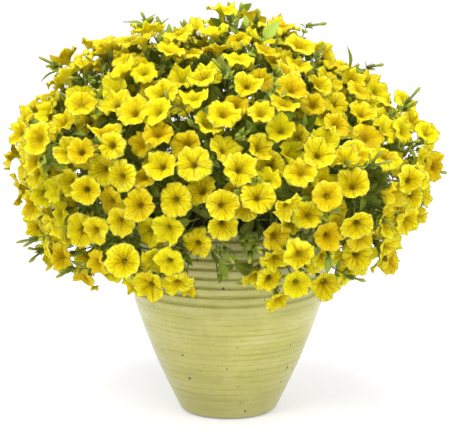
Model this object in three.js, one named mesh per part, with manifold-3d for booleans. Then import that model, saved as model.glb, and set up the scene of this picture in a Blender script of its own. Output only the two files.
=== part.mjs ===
// A potted petunia: a full round plant of yellow trumpet blooms over a ribbed, glazed pot.
//
// Millimetres, +Z up. The origin is the middle of the pot's flat base, and -Y is the plant's best side.
// The pot and the soil are turned solids. The plant is made of stalks that stand in holes in the soil.
// A stalk is a chain of triangles, each turned 60 degrees from the last, so that all its side faces are
// triangles. Blooms, leaves, buds and side shoots each sprout from one of those faces, and are welded to it.
// Every sprout is tried against all that has grown before it, and is kept only where it is clear.
import * as THREE from "three";
import { mergeVertices } from "three/addons/utils/BufferGeometryUtils.js";
import Module from "manifold-3d";

const wasm = await Module();
wasm.setup();

// Pot, from its flat base to the top of its rim
const POT_HEIGHT = 320;
const POT_SIDES = 26;
const POT_WALL = 11;
const POT_FLOOR = 14;
const RIB_PITCH = 15;
const RIB_DEPTH = 2.6;
const RIBS_FROM = 202;
const RIB_COUNT = 7;
const DRAIN_RADIUS = 7;
const DRAIN_RING = 44;
const DRAIN_COUNT = 3;
const POT_OUTLINE = new THREE.SplineCurve([
  new THREE.Vector2(77, 4),
  new THREE.Vector2(95, 42),
  new THREE.Vector2(121, 102),
  new THREE.Vector2(150, 184),
  new THREE.Vector2(162, 250),
  new THREE.Vector2(166, 316),
]);

// Soil, whose side follows the inside of the pot
const SOIL_LEVEL = 296;
const SOIL_CROWN = 8;
const SOIL_GAP = 0.4;
const INNER_LEVELS = [POT_FLOOR, 100, 200, SOIL_LEVEL];
const HOLE_DEPTH = 24;
const HOLE_GAP = 0.35;

// The plant's outer shell, which the blooms' throats lie near
const SHELL_Z = 402;
const SHELL_RADIUS = 317;
const SHELL_SIDE = -3;
const SHELL_LEAN = -35;
const SHELL_TOP = 222;
const SHELL_DROP = 268;
const SHELL_FULLNESS = 1.55;
const SKIRT_ANGLE = 133;
const SKIRT_LIFT = 4;
const FRONT_GAP_HALF_ANGLE = 9;
const FRONT_GAP_ANGLE = 103;

// Blooms
const PLACE_COUNT = 950;
const BLOOM_RADIUS = 23.2;
const LONGEST_NECK = 122;
const LOBES = 5;
const NOTCH_SHARE = 0.88;
const THROAT_DEPTH = 9;
const THROAT_BACK = 5;
const THROAT_RADIUS = 4.6;
const BLOOM_CLEARANCE = 0.5;
const DEPTHS = [0, 6, -6, 12, -12, 18, -18, 24, -24, -32];

// Layers of blooms, from the outside in. Those of the first have a notch between each two lobes, and the
// rest, which open in the gaps beside and under them, have not.
const LAYERS = [
  { count: 190, rimPoints: 2 * LOBES, level: 3, uneven: 14 },
  { count: 110, rimPoints: LOBES, level: 0, uneven: 14 },
  { count: 170, rimPoints: LOBES, level: -18, uneven: 12 },
];

// Stalks, leaves and buds
const STALK_RADIUS = 3.2;
const TIP_RADIUS = 2.4;
const HUB_DEPTH = 88;
const HUB_STEP = 11;
const LEAF_LENGTH = 36;
const LEAF_WIDTH = 17;
const LEAF_SLOPES = [[0.55, 1], [0.9, 1], [1.4, 1], [0.7, 0.75], [1.2, 0.75]];
const SHOOT_LENGTH = 56;
const BUD_LENGTH = 26;

// Rings of stalks from the middle of the plant outwards: the polar angle of their tips on the shell, how
// many there are, the turn of the first one, and how far from the middle of the pot they stand
const FLOWERING_RINGS = [
  { angle: 0, count: 1, turn: 0, foot: 0 },
  { angle: 34, count: 6, turn: 12, foot: 34 },
  { angle: 62, count: 10, turn: 0, foot: 64 },
  { angle: 89, count: 12, turn: 15, foot: 94 },
  { angle: 114, count: 10, turn: 18, foot: 122 },
];
const LEAFY_RINGS = [
  { angle: 18, count: 3, turn: 40, foot: 17 },
  { angle: 48, count: 5, turn: 30, foot: 49 },
  { angle: 76, count: 6, turn: 10, foot: 79 },
  { angle: 102, count: 5, turn: 35, foot: 109 },
];

const glaze = new THREE.MeshStandardMaterial({ color: 0xc3c465, roughness: 0.32 });
const earth = new THREE.MeshStandardMaterial({ color: 0x2e2018, roughness: 0.95 });
const petal = new THREE.MeshStandardMaterial({ color: 0xf5dc12, roughness: 0.6 });
const leafGreen = new THREE.MeshStandardMaterial({ color: 0x4a7a2c, roughness: 0.6 });

// A seeded draw from 0 to 1, and one from -1 to 1
let seed = 31;
function random() {
  seed = (seed + 0x6d2b79f5) | 0;
  let t = Math.imul(seed ^ (seed >>> 15), 1 | seed);
  t = (t + Math.imul(t ^ (t >>> 7), 61 | t)) ^ t;
  return ((t ^ (t >>> 14)) >>> 0) / 4294967296;
}
const spread = () => 2 * random() - 1;

const radians = THREE.MathUtils.degToRad;
const vector = (x, y, z) => new THREE.Vector3(x, y, z);
const along = (from, direction, distance) => from.clone().addScaledVector(direction, distance);
const middle = (points) =>
  points.reduce((sum, p) => sum.add(p), vector(0, 0, 0)).divideScalar(points.length);
const faceNormal = ([a, b, c]) =>
  b.clone().sub(a).cross(c.clone().sub(a)).normalize();

// Two unit vectors square to an axis and to each other
function sideways(axis) {
  const helper = Math.abs(axis.z) < 0.9 ? vector(0, 0, 1) : vector(1, 0, 0);
  const u = helper.cross(axis).normalize();
  return [u, axis.clone().cross(u)];
}

// Solids and meshes

function geometryOf(triangles) {
  const corners = new Float32Array(triangles.flat().flatMap((p) => [p.x, p.y, p.z]));
  return mergeVertices(
    new THREE.BufferGeometry().setAttribute("position", new THREE.BufferAttribute(corners, 3)),
    1e-3,
  );
}

function solidOf(geometry) {
  const bare = geometry.clone();
  bare.deleteAttribute("normal");
  bare.deleteAttribute("uv");
  const merged = mergeVertices(bare, 1e-3);
  return new wasm.Manifold(
    new wasm.Mesh({
      numProp: 3,
      vertProperties: new Float32Array(merged.attributes.position.array),
      triVerts: new Uint32Array(merged.index.array),
    }),
  );
}

function geometryOfSolid(solid) {
  const mesh = solid.getMesh();
  return new THREE.BufferGeometry()
    .setAttribute("position", new THREE.BufferAttribute(mesh.vertProperties, 3))
    .setIndex(new THREE.BufferAttribute(mesh.triVerts, 1));
}

// A sprout's foot is the reverse of the face that it stands on: where they meet, both are dropped.
function weld(parts) {
  const nameOf = (p) => `${p.x.toFixed(3)},${p.y.toFixed(3)},${p.z.toFixed(3)}`;
  const key = (face) => face.map(nameOf).sort().join(" ");
  const counts = new Map();
  const all = parts.flat();
  for (const face of all) counts.set(key(face), (counts.get(key(face)) ?? 0) + 1);
  return all.filter((face) => counts.get(key(face)) === 1);
}

// The pot and its soil

const potRadius = (z) => {
  const t = THREE.MathUtils.clamp((z - 4) / (POT_HEIGHT - 8), 0, 1);
  let low = 0;
  let high = 1;
  for (let i = 0; i < 24; i++) {
    const mid = (low + high) / 2;
    if (POT_OUTLINE.getPoint(mid).y < 4 + t * (POT_HEIGHT - 8)) low = mid;
    else high = mid;
  }
  return POT_OUTLINE.getPoint(low).x;
};
const innerRadius = (z) => potRadius(z) - POT_WALL;

function pot() {
  const outline = [vector(0, 0, 0), vector(72, 0, 0), vector(77, 0, 4)];
  for (const z of [40, 78, 116, 156, 192]) outline.push(vector(potRadius(z), 0, z));
  for (let i = 0; i < RIB_COUNT; i++) {
    const z = RIBS_FROM + i * RIB_PITCH;
    outline.push(vector(potRadius(z) - RIB_DEPTH, 0, z));
    outline.push(vector(potRadius(z) + 0.6, 0, z + RIB_PITCH / 2));
  }
  outline.push(vector(potRadius(312) + 2, 0, 313), vector(166, 0, POT_HEIGHT));
  outline.push(vector(158, 0, POT_HEIGHT));
  for (const z of [...INNER_LEVELS].reverse()) outline.push(vector(innerRadius(z), 0, z));
  outline.push(vector(0, 0, POT_FLOOR));
  let solid = turned(outline);
  for (let i = 0; i < DRAIN_COUNT; i++) {
    const turn = (i * 2 * Math.PI) / DRAIN_COUNT;
    const drill = new THREE.CylinderGeometry(DRAIN_RADIUS, DRAIN_RADIUS, 4 * POT_FLOOR, 8)
      .rotateX(Math.PI / 2)
      .translate(DRAIN_RING * Math.cos(turn), DRAIN_RING * Math.sin(turn), 0);
    solid = solid.subtract(solidOf(drill));
  }
  return solid;
}

function turned(outline) {
  const points = outline.map((p) => new THREE.Vector2(p.x, p.z));
  return solidOf(new THREE.LatheGeometry(points, POT_SIDES).rotateX(Math.PI / 2));
}

function soil(feet) {
  const outline = [vector(0, 0, POT_FLOOR + SOIL_GAP)];
  outline.push(vector(innerRadius(POT_FLOOR) - 1, 0, POT_FLOOR + SOIL_GAP));
  for (const z of INNER_LEVELS.slice(1)) outline.push(vector(innerRadius(z) - SOIL_GAP, 0, z));
  outline.push(vector(0, 0, SOIL_LEVEL + SOIL_CROWN));
  let solid = turned(outline);
  for (const foot of feet) {
    const centre = middle(foot);
    const grow = (STALK_RADIUS + 2.4 * HOLE_GAP) / STALK_RADIUS;
    const hole = foot.map((p) => p.clone().sub(centre).multiplyScalar(grow).add(centre));
    const low = hole.map((p) => along(p, vector(0, 0, 1), -HOLE_GAP));
    const high = hole.map((p) => along(p, vector(0, 0, 1), 2 * HOLE_DEPTH));
    solid = solid.subtract(solidOf(geometryOf([footOf(low), ...band(low, high), lid(high)])));
  }
  return solid;
}

// Stalks

// An even triangle round a centre, square to an axis, with its corners turned to those of a guide
function ring(centre, axis, guide, radius) {
  const [u, v] = sideways(axis);
  const guideMiddle = middle(guide);
  const turns = guide.map((p, j) => {
    const out = p.clone().sub(guideMiddle);
    return Math.atan2(out.dot(v), out.dot(u)) - radians(120 * j);
  });
  const sum = (f) => turns.reduce((total, turn) => total + f(turn), 0);
  const first = Math.atan2(sum(Math.sin), sum(Math.cos));
  return guide.map((_, j) => {
    const turn = first + radians(120 * j);
    return along(centre, u, radius * Math.cos(turn)).addScaledVector(v, radius * Math.sin(turn));
  });
}

// The same, turned by 60 degrees, so that each corner lies over a side of the earlier triangle
function nextRing(centre, axis, last, radius) {
  const halfway = last.map((p, j) => middle([p, last[(j + 1) % 3]]));
  return ring(centre, axis, halfway, radius);
}

function band(low, high) {
  const faces = [];
  for (let j = 0; j < 3; j++) {
    const k = (j + 1) % 3;
    faces.push([low[j], low[k], high[j]], [low[k], high[k], high[j]]);
  }
  return faces;
}

const lid = (points) => [points[0], points[1], points[2]];
const footOf = (face) => [face[2], face[1], face[0]];

function stalk(face, centres, radii) {
  const faces = [footOf(face)];
  const sides = [];
  let last = face;
  centres.forEach((centre, i) => {
    const from = i ? centres[i - 1] : middle(face);
    const to = centres[i + 1] ?? centre;
    const axis = to.clone().sub(from).normalize();
    const high = nextRing(centre, axis, last, radii[i]);
    const faceBand = band(last, high);
    faces.push(...faceBand);
    sides.push(faceBand);
    last = high;
  });
  const tip = lid(last);
  faces.push(tip);
  return { faces, sides, tip };
}

// The plant's shell: a point on it, and the way it faces there

function shellPoint(polar, turn) {
  const a = radians(polar);
  const t = radians(turn);
  const upper = polar < 90;
  const fullness = upper ? SHELL_FULLNESS : 2;
  const pull = (Math.sin(a) ** fullness + Math.abs(Math.cos(a)) ** fullness) ** (-1 / fullness);
  const lumps =
    0.041 * Math.sin(3 * t + 4 * a - radians(95)) * Math.sin(a) -
    0.029 * Math.cos(7 * a + 2 * t + radians(160));
  const size = pull * (1 + lumps);
  const flat = SHELL_RADIUS * Math.sin(a) * size;
  const side = SHELL_SIDE * Math.sin(a) + (upper ? SHELL_LEAN * Math.sin(2 * a) : 0);
  const height = (upper ? SHELL_TOP : SHELL_DROP) * Math.cos(a) * size;
  return vector(side + flat * Math.sin(t), -flat * Math.cos(t), SHELL_Z + height);
}

function shellNormal(polar, turn) {
  const a = radians(polar);
  const t = radians(turn);
  const upper = polar < 90;
  const steep = (upper ? SHELL_FULLNESS : 2) - 1;
  const out = Math.sin(a) ** steep / SHELL_RADIUS;
  const up = upper ? Math.cos(a) ** steep / SHELL_TOP : Math.cos(a) / SHELL_DROP;
  return vector(out * Math.sin(t), -out * Math.cos(t), up).normalize();
}

// Stalks rise from the soil, lean out over the rim and end under the shell.
function stalkPath(place, depth) {
  const { angle, turn, foot } = place;
  const t = radians(turn);
  const at = (flat, z) => vector(flat * Math.sin(t), -flat * Math.cos(t), z);
  const out = shellNormal(angle, turn);
  const end = along(shellPoint(angle, turn), out, -depth);
  const droop = Math.max(0, -out.z);
  const rise = at(foot + 4, SOIL_LEVEL + 62 + 45 * droop);
  const lean = along(end, out, -62).add(vector(0, 0, 18 + 95 * droop));
  const start = at(foot, SOIL_LEVEL - HOLE_DEPTH + HOLE_GAP);
  const neck = at(foot, SOIL_LEVEL + SOIL_CROWN + 6);
  return { start, end, curve: new THREE.CubicBezierCurve3(neck, rise, lean, end) };
}

function placesOf(rings) {
  return rings.flatMap(({ angle, count, turn, foot }) =>
    Array.from({ length: count }, (_, i) => ({
      angle: angle ? angle + 3 * spread() : 0,
      turn: turn + ((i + 0.12 * spread()) * 360) / count,
      foot,
    })),
  );
}

// The part of a stalk that stands in the soil is a plain three-sided post.
function post(start) {
  const low = [0, 1, 2].map((j) => {
    const out = vector(Math.cos(radians(120 * j)), Math.sin(radians(120 * j)), 0);
    return along(start, out, STALK_RADIUS);
  });
  const high = low.map((p) => vector(p.x, p.y, SOIL_LEVEL + SOIL_CROWN + 6));
  return { low, high, faces: [footOf(low), ...band(low, high), lid(high)] };
}

// A stalk that meets an earlier one is turned a little further round the plant.
function clearStalk(place, depth, bare, steps, step) {
  for (const turn of [0, 3, -3, 6, -6, 9, -9, 12, -12]) {
    const made = mainStalk({ ...place, turn: place.turn + turn }, depth, bare, steps, step);
    if (!isClear(made.faces)) continue;
    remember(made.faces);
    return { ...made, sprouts: [] };
  }
  throw new Error("a stalk has no room");
}

function mainStalk(place, depth, bare, steps, step) {
  const path = stalkPath(place, depth);
  const base = post(path.start);
  const centres = [];
  for (let i = 1; i <= bare; i++) centres.push(path.curve.getPoint(i / bare));
  const ahead = path.curve.getTangent(1).normalize();
  for (let i = 1; i <= steps; i++) centres.push(along(path.end, ahead, i * step));
  const radii = centres.map((_, i) =>
    THREE.MathUtils.lerp(STALK_RADIUS, TIP_RADIUS, (i + 1) / centres.length),
  );
  const made = stalk(base.high, centres, radii);
  return {
    ...made,
    faces: weld([base.faces, made.faces]),
    foot: base.low,
    free: made.sides.slice(bare).flat(),
    bands: made.sides.slice(bare),
    ahead,
  };
}

// Sprouts: each takes the face that it grows from and returns its own closed skin

// An open bloom: a three-sided tube that flares into the rim points of its lobes and notches
function bloom(face, centre, axis, look, grow) {
  const back = along(centre, axis, -(look.cup + THROAT_BACK + grow));
  const neck = nextRing(back, axis, face, THROAT_RADIUS + grow);
  const [u, v] = sideways(axis);
  const rim = [];
  const notched = look.rimPoints > LOBES;
  for (let k = 0; k < look.rimPoints; k++) {
    const a = look.twist + (2 * k * Math.PI) / look.rimPoints;
    const reach = (notched && k % 2 ? NOTCH_SHARE : 1) * look.radius + grow;
    const lift = look.wave[k];
    rim.push(
      along(centre, axis, lift)
        .addScaledVector(u, reach * Math.cos(a))
        .addScaledVector(v, reach * Math.sin(a)),
    );
  }
  const throat = along(centre, axis, grow - look.cup);
  const faces = [footOf(face), ...band(face, neck), ...bridge(neck, rim, centre, u, v)];
  for (let k = 0; k < rim.length; k++) faces.push([rim[k], rim[(k + 1) % rim.length], throat]);
  return faces;
}

// Faces between a loop of three and a wider loop round it, both anticlockwise about the same axis
function bridge(inner, outer, centre, u, v) {
  const turnOf = (p) => {
    const d = p.clone().sub(centre);
    return Math.atan2(d.dot(v), d.dot(u));
  };
  const full = 2 * Math.PI;
  const first = turnOf(inner[0]);
  const ahead = (p) => (((turnOf(p) - first) % full) + full) % full;
  const start = outer.reduce((best, p, k) => (ahead(p) < ahead(outer[best]) ? k : best), 0);
  const innerTurns = inner.map((p, j) => (j ? ahead(p) : 0));
  const faces = [];
  let i = 0;
  let k = 0;
  while (i < inner.length || k < outer.length) {
    const p = inner[i % inner.length];
    const q = outer[(start + k) % outer.length];
    const nextInner = i + 1 < inner.length ? innerTurns[i + 1] : full;
    const nextOuter = k + 1 < outer.length ? ahead(outer[(start + k + 1) % outer.length]) : full + 1;
    if (k >= outer.length || (i < inner.length && nextInner < nextOuter)) {
      faces.push([p, inner[(i + 1) % inner.length], q]);
      i++;
    } else {
      faces.push([p, outer[(start + k + 1) % outer.length], q]);
      k++;
    }
  }
  return faces;
}

// A leaf: an oval blade, folded a little along its rib, with a keel that runs down into the stalk
function leaf(face, direction, length, width, droop) {
  const [keel, b, a] = face;
  const side = b.clone().sub(a).normalize();
  const out = direction.clone().addScaledVector(side, -direction.dot(side)).normalize();
  const up = out.clone().cross(side);
  const root = middle([a, b]);
  const at = (share, half, lift) =>
    along(root, out, share * length).addScaledVector(side, half * width).addScaledVector(up, lift);
  const a1 = at(0.42, -0.5, 1.8);
  const b1 = at(0.42, 0.5, 1.8);
  const tip = at(1, 0, -droop);
  return [
    footOf(face),
    [a, a1, b],
    [a1, b1, b],
    [a1, tip, b1],
    [keel, a1, a],
    [keel, tip, a1],
    [keel, b1, tip],
    [keel, b, b1],
  ];
}

// A furled bud: it swells from the stalk and closes to a point
function bud(face, direction, length) {
  const foot = middle(face);
  const swell = nextRing(along(foot, direction, 0.72 * length), direction, face, 4.4);
  const point = along(foot, direction, length);
  return [footOf(face), ...band(face, swell), ...swell.map((p, j) => [p, swell[(j + 1) % 3], point])];
}

// What has grown so far. A sprout is clear if it shares nothing with any of it.
const grown = [];
const TOUCH = 1e-4;

function remember(faces) {
  const solid = solidOf(geometryOf(faces));
  grown.push({ solid, box: solid.boundingBox() });
}

function isClear(faces) {
  const solid = solidOf(geometryOf(faces));
  const box = solid.boundingBox();
  const apart = (other) =>
    [0, 1, 2].some((i) => other.min[i] > box.max[i] || other.max[i] < box.min[i]);
  const hit = grown.some((g) => !apart(g.box) && solid.intersect(g.solid).volume() > TOUCH);
  solid.delete();
  return !hit;
}

// The blooms' places: each new one is the candidate that lies furthest from those before it.
function bloomPlaces() {
  const TRIES = 14;
  const chosen = [];
  while (chosen.length < PLACE_COUNT) {
    let best = null;
    for (let i = 0; i < TRIES; i++) {
      const polar = SKIRT_ANGLE * Math.sqrt(random()) * (0.35 + 0.65 * random());
      const turn = 360 * random();
      if (random() > Math.sin(radians(Math.max(polar, 8)))) continue;
      const fromFront = Math.abs(((turn + 180) % 360) - 180);
      const hem = SKIRT_ANGLE - SKIRT_LIFT * Math.sin(radians(turn)) ** 2;
      if (polar > (fromFront < FRONT_GAP_HALF_ANGLE ? FRONT_GAP_ANGLE : hem)) continue;
      const point = shellPoint(polar, turn);
      const gap = Math.min(...chosen.map((c) => c.point.distanceTo(point)), 1e3);
      if (!best || gap > best.gap) best = { polar, turn, point, gap };
    }
    if (best) chosen.push(best);
  }
  return chosen;
}

// A bloom faces out from the shell, a little up, and not quite the same way as its neighbours.
function bloomLook(place, layer) {
  const axis = shellNormal(place.polar, place.turn)
    .add(vector(0.5 * spread(), 0.5 * spread(), 0.12 + 0.45 * spread()))
    .normalize();
  const radius = BLOOM_RADIUS * (1 + 0.11 * spread());
  const cup = THROAT_DEPTH + 2 * spread();
  const wave = Array.from({ length: 2 * LOBES }, () => 1.3 * spread());
  return { axis, look: { radius, cup, wave, rimPoints: layer.rimPoints, twist: radians(360 * random()) } };
}

// Each bloom grows from the nearest stalk that has a free face turned towards it and room for its neck.
function growBlooms(stalks, places, layer) {
  for (let kept = 0; kept < layer.count && places.length; ) {
    const place = places.shift();
    const { axis, look } = bloomLook(place, layer);
    const out = shellNormal(place.polar, place.turn);
    const nearest = [...stalks]
      .sort((m, n) => m.hub.distanceTo(place.point) - n.hub.distanceTo(place.point))
      .slice(0, 3);
    const level = layer.level + layer.uneven * spread();
    const grow = (owner) =>
      DEPTHS.some((depth) => growBloom(owner, along(place.point, out, level + depth), axis, look));
    if (nearest.some(grow)) kept++;
  }
}

function growBloom(owner, centre, axis, look) {
  const aim = (face) => faceNormal(face).dot(centre.clone().sub(middle(face)).normalize());
  const faces = owner.free
    .filter((face) => middle(face).distanceTo(centre) < LONGEST_NECK && aim(face) > 0.35)
    .sort((m, n) => aim(n) - aim(m))
    .slice(0, 4);
  for (const face of faces) {
    const neck = centre.clone().sub(middle(face)).normalize();
    const tilted = axis.clone().addScaledVector(neck, 0.35).normalize();
    if (!isClear(bloom(face, centre, tilted, look, BLOOM_CLEARANCE))) continue;
    const made = bloom(face, centre, tilted, look, 0);
    remember(made);
    owner.sprouts.push(made);
    owner.free.splice(owner.free.indexOf(face), 1);
    return true;
  }
  return false;
}

// Leaves stand on the faces whose broad end is uppermost, each at the first slope and size that is clear.
function growLeaves(owner, bands) {
  for (const face of bands.flatMap((faces) => faces.filter((_, i) => i % 2))) {
    const upward = middle([face[1], face[2]]).sub(face[0]).normalize();
    const size = 1 + 0.2 * spread();
    const droop = 3 + 3 * random();
    const grow = ([lean, share]) => {
      const direction = faceNormal(face).addScaledVector(upward, lean).normalize();
      const length = size * share * LEAF_LENGTH;
      return attach(owner, leaf(face, direction, length, size * share * LEAF_WIDTH, droop));
    };
    LEAF_SLOPES.some(grow);
  }
}

function attach(owner, sprout) {
  if (!isClear(sprout)) return false;
  remember(sprout);
  owner.sprouts.push(sprout);
  return true;
}

// A side shoot ends in a bud and carries a few leaves of its own.
function growShoot(owner, face) {
  for (const lean of [0.7, 1.2, 0.3]) {
    const direction = faceNormal(face)
      .addScaledVector(owner.ahead, lean)
      .add(vector(0.15 * spread(), 0.15 * spread(), 0.15 * spread()))
      .normalize();
    const foot = middle(face);
    const centres = [0.5, 1].map((share) => along(foot, direction, share * SHOOT_LENGTH));
    const shoot = stalk(face, centres, [2.2, 2]);
    if (!attach(owner, shoot.faces)) continue;
    growBud(owner, shoot.tip, direction);
    growLeaves(owner, shoot.sides);
    return;
  }
}

function growBud(owner, face, direction) {
  attach(owner, bud(face, direction, BUD_LENGTH * (0.85 + 0.25 * random())));
}

// The plant grows stalks first, then blooms, then the leaves and shoots that fill the room between them.
const flowering = placesOf(FLOWERING_RINGS).map((place) => {
  const made = clearStalk(place, HUB_DEPTH, 3, 3, HUB_STEP);
  return { ...made, hub: middle(made.tip), free: [...made.free, made.tip] };
});
const leafy = placesOf(LEAFY_RINGS).map((place) => clearStalk(place, 76, 3, 5, 17));

const places = bloomPlaces();
for (const layer of LAYERS) growBlooms(flowering, places, layer);
for (const s of leafy) {
  growBud(s, s.tip, s.ahead);
  growLeaves(s, s.bands.slice(1));
  for (const face of [s.bands[0][0], s.bands[0][4]]) growShoot(s, face);
}

const plant = new THREE.Group();

function addNode(name, geometry, material) {
  const mesh = new THREE.Mesh(geometry, material);
  mesh.name = name;
  plant.add(mesh);
}

const twoDigits = (i) => String(i + 1).padStart(2, "0");
addNode("pot", geometryOfSolid(pot()), glaze);
addNode("soil", geometryOfSolid(soil([...flowering, ...leafy].map((s) => s.foot))), earth);
flowering.forEach((s, i) => {
  addNode(`flower_spray_${twoDigits(i)}`, geometryOf(weld([s.faces, ...s.sprouts])), petal);
});
leafy.forEach((s, i) => {
  addNode(`leafy_stem_${twoDigits(i)}`, geometryOf(weld([s.faces, ...s.sprouts])), leafGreen);
});

export default plant;
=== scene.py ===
"""A potted petunia: fine blooms, leaves, stems, soil and a ribbed, glazed pot, built on the frame's solids.

Each bloom, leaf, bud and stem is read from the frame's low-sided solids and built again in its place, with
ruffled lobes, veins, calyces and curved blades. Small leaves that the solids leave out fill the plant between
them. Metres, +Z up, and -Y is the plant's best side.
"""

import math
import random
from math import cos, pi, sin, tau

import bpy
import numpy as np
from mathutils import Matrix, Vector


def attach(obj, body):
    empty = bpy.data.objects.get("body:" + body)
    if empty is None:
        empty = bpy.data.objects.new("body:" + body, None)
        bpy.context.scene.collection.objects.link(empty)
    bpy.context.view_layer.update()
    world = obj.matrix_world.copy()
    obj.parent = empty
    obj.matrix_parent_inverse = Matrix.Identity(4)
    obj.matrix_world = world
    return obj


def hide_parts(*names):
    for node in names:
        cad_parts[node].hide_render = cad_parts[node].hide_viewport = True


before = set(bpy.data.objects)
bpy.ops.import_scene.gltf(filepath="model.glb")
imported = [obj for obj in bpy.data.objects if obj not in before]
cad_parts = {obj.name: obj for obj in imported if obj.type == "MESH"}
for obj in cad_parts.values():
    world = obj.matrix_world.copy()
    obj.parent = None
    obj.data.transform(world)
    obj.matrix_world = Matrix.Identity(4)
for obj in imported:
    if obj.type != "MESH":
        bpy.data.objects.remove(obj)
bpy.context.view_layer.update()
rng = random.Random(7)

# What tells the parts of a solid from one another
RIM_REACH = (0.017, 0.034)  # from a bloom's throat to its rim
NECK_SPAN = 0.012  # across a bloom's neck, at most
BUD_REACH = 0.014  # from a bud's tip to its widest ring, at most
RING_EDGE = 0.0066  # the longest edge within a ring of a stem
STEM_EDGES = 6  # the fewest edges between two rings of one stem
SIDE_STEM_FROM = 0.33  # a stem that starts above this height leaves another stem

# Blooms
PETAL_AROUND = 40  # points round a bloom, eight to a lobe
PETAL_ROWS = (0.0, 0.14, 0.32, 0.52, 0.72, 0.88, 1.0)  # rings from the throat to the rim
UNDER_ROWS = (0.88, 0.62, 0.3)  # rings under the petals, back from the rim
PETAL_THICKNESS = 0.0005
PETAL_SPREAD = 1.07  # the fine bloom's radius over the solid's
NOTCH_DEPTH = (0.05, 0.14)  # between two lobes, over the radius
THROAT_RADIUS, THROAT_DEPTH, THROAT_END = 0.0040, 0.006, 0.0018
TRUMPET_TAIL = 0.011  # from the solid's neck back to the calyx, at most
TRUMPET_RADII = ((0.0, 0.0052), (0.5, 0.0038), (1.0, 0.0021))  # along the outside, back to the calyx
TURN_FROM, TURN_OVER = 0.52, 0.08  # the heights over which blooms turn from the front to straight up
SEPAL_ROWS = ((0.0, 0.0010, 0.0018), (0.45, 0.0018, 0.0034), (0.8, 0.0012, 0.0046), (1.0, 0.0003, 0.0055))
BUD_ROWS = (
    (0.0, 0.0013), (0.25, 0.0016), (0.5, 0.0019), (0.7, 0.0026),
    (0.85, 0.0027), (0.95, 0.0017), (1.0, 0.0005),
)
BUD_SIDES = 8

# Leaves and stems
OUTER_LEAVES, INNER_LEAVES, JOINT_LEAVES = 430, 640, 5
SPRIGS = 85
LEAF_THICKNESS = 0.00045
TOP_LIGHT_FROM, TOP_LIGHT_BY = 0.44, 1.3  # painted top light: leaves are paler above this height, by so much a metre
SMALL = {"rows": 4, "shares": (-1.0, 0.0, 1.0)}  # the rows and columns of points in a small leaf
STEM_SIDES, NECK_SIDES, STALK_SIDES = 6, 5, 4
SPRAY_STEM, LEAFY_STEM, SIDE_STEM = (0.0024, 0.0019, 0.0014), (0.0024, 0.0016, 0.0009), (0.0014, 0.0009)
HEART = np.array([0.0, 0.0, 0.372])  # the plant's middle, from which its blooms spread
SPRAY_GROUPS = 8
# How far in front of a bloom nothing else may stand: a stem's bud, a leaf's tip, a sprig's end and its buds
BUD_CLEAR, LEAF_CLEAR, SPRIG_CLEAR, SPRIG_BUD_CLEAR = 0.024, 0.032, 0.028, 0.03
POT_CLEAR_RADIUS, POT_CLEAR_HEIGHT = 0.178, 0.335


class Gather:
    """Vertices, faces, UVs and a tone for each vertex, added part by part and made into one object."""

    def __init__(self):
        self.points, self.faces, self.uvs, self.tones, self.kinds = [], [], [], [], []
        self.count = 0

    def add(self, points, faces, uvs, tones, kind=0):
        points = np.asarray(points, float)
        n = len(points)
        self.points.append(points)
        self.faces.extend([tuple(i + self.count for i in f) for f in faces])
        self.uvs.append(np.asarray(uvs, float) if uvs is not None else np.zeros((n, 2)))
        self.tones.append(np.full(n, tones) if np.isscalar(tones) else np.asarray(tones))
        self.kinds.extend([kind] * len(faces))
        self.count += n

    def build(self, name, materials):
        mesh = bpy.data.meshes.new(name)
        mesh.from_pydata(np.concatenate(self.points).tolist(), [], self.faces)
        corners = np.empty(len(mesh.loops), int)
        mesh.loops.foreach_get("vertex_index", corners)
        layer = mesh.uv_layers.new(name="Shape")
        layer.data.foreach_set("uv", np.concatenate(self.uvs)[corners].astype(np.float32).ravel())
        tone = mesh.attributes.new("tone", "FLOAT", "POINT")
        tone.data.foreach_set("value", np.concatenate(self.tones).astype(np.float32))
        for material in materials:
            mesh.materials.append(material)
        mesh.polygons.foreach_set("material_index", np.array(self.kinds, np.int32))
        mesh.polygons.foreach_set("use_smooth", [True] * len(mesh.polygons))
        mesh.update()
        piece = bpy.data.objects.new(name, mesh)
        bpy.context.scene.collection.objects.link(piece)
        return piece


def unit(v):
    return v / max(np.linalg.norm(v), 1e-12)


def random_vector(size):
    return np.array([rng.gauss(0, size) for _ in range(3)])


def basis(axis, hint=None):
    """Two unit vectors square to the axis, the first as near to the hint as it can be."""
    hint = np.array([0.0, 0.0, 1.0]) if hint is None else hint
    u = hint - axis * hint.dot(axis)
    if np.linalg.norm(u) < 1e-6:
        u = np.cross(axis, [1.0, 0.1, 0.0])
    u = unit(u)
    return u, np.cross(axis, u)


def between(u, v, angle):
    """The way at an angle from u towards v."""
    return cos(angle) * u + sin(angle) * v


def barrel(rings, sides, inward=False):
    """Faces between rings of points, and one over each end."""
    faces = []
    for i in range(0, (rings - 1) * sides, sides):
        for k in range(sides):
            a, b = i + k, i + (k + 1) % sides
            faces.append((a, a + sides, b + sides, b) if inward else (a, b, b + sides, a + sides))
    first, last = range(sides), range((rings - 1) * sides, rings * sides)
    ends = (first, reversed(last)) if inward else (reversed(first), last)
    return faces + [tuple(end) for end in ends]


def smooth_path(points, steps=3):
    """A Catmull-Rom curve through the points."""
    p = [np.asarray(q, float) for q in points]
    p = [2 * p[0] - p[1]] + p + [2 * p[-1] - p[-2]]
    out = []
    for i in range(1, len(p) - 2):
        a, b, c, d = p[i - 1 : i + 3]
        for t in (s / steps for s in range(steps)):
            square, cube = 2 * a - 5 * b + 4 * c - d, 3 * b - a - 3 * c + d
            out.append(0.5 * (2 * b + (c - a) * t + square * t * t + cube * t**3))
    out.append(p[-2])
    return out


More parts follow.
